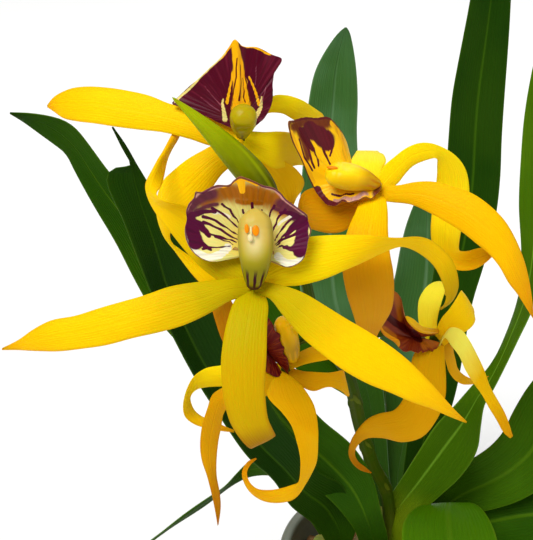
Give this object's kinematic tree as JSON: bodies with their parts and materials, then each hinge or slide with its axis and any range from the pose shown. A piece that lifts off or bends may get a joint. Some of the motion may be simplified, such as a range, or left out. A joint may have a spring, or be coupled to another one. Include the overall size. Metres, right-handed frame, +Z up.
{
  "type": "potted octopussy cockleshell orchid",
  "caption": "Flowering orchid in a round pot: an arching spike of yellow flowers with ribbon-like tepals and dark shell-shaped lips held uppermost, over strap leaves and pseudobulbs.",
  "frame": {"origin": "middle of the flat underside of the pot", "axes": "+Z up along the pot's axis, -Y towards the side the flowers face, +X to the right as seen from there"},
  "size_m": [0.26, 0.2822, 0.3885],
  "materials": {
    "pot": "satin",
    "potting_mix": "matte",
    "pseudobulb": "satin",
    "leaf": "satin",
    "stalk": "satin",
    "bud": "satin",
    "tepal": "satin",
    "lip": "satin",
    "column": "satin"
  },
  "bodies": {
    "root": {"pot": "pot", "potting_mix": "potting_mix", "pseudobulb_front": "pseudobulb", "pseudobulb_back": "pseudobulb", "pseudobulb_right": "pseudobulb", "pseudobulb_left": "pseudobulb", "pseudobulb_old": "pseudobulb", "leaf_left_long": "leaf", "leaf_left_keeled": "leaf", "leaf_back_centre": "leaf", "leaf_tall": "leaf", "leaf_back_right": "leaf", "leaf_right_narrow": "leaf", "leaf_right_low": "leaf", "leaf_right_spreading": "leaf", "leaf_back_left": "leaf", "leaf_front_arching": "leaf", "leaf_left_drooping": "leaf", "spike": "stalk", "bud": "bud", "front_flower_lip": "lip", "front_flower_column": "column", "front_flower_left_petal": "tepal", "front_flower_dorsal_sepal": "tepal", "front_flower_right_petal": "tepal", "front_flower_left_sepal": "tepal", "front_flower_right_sepal": "tepal", "front_flower_stalk": "stalk", "top_flower_lip": "lip", "top_flower_column": "column", "top_flower_left_sepal": "tepal", "top_flower_right_sepal": "tepal", "top_flower_left_petal": "tepal", "top_flower_right_petal": "tepal", "top_flower_dorsal_sepal": "tepal", "top_flower_stalk": "stalk", "right_flower_lip": "lip", "right_flower_column": "column", "right_flower_upper_petal": "tepal", "right_flower_arching_sepal": "tepal", "right_flower_long_petal": "tepal", "right_flower_lower_sepal": "tepal", "right_flower_near_sepal": "tepal", "right_flower_stalk": "stalk", "low_flower_lip": "lip", "low_flower_column": "column", "low_flower_curled_sepal": "tepal", "low_flower_hooked_petal": "tepal", "low_flower_hanging_petal": "tepal", "low_flower_far_sepal": "tepal", "low_flower_right_petal": "tepal", "low_flower_stalk": "stalk", "far_flower_lip": "lip", "far_flower_column": "column", "far_flower_upper_petal": "tepal", "far_flower_right_sepal": "tepal", "far_flower_long_petal": "tepal", "far_flower_lower_sepal": "tepal", "far_flower_shaded_petal": "tepal", "far_flower_stalk": "stalk"}
  },
  "joints": []
}
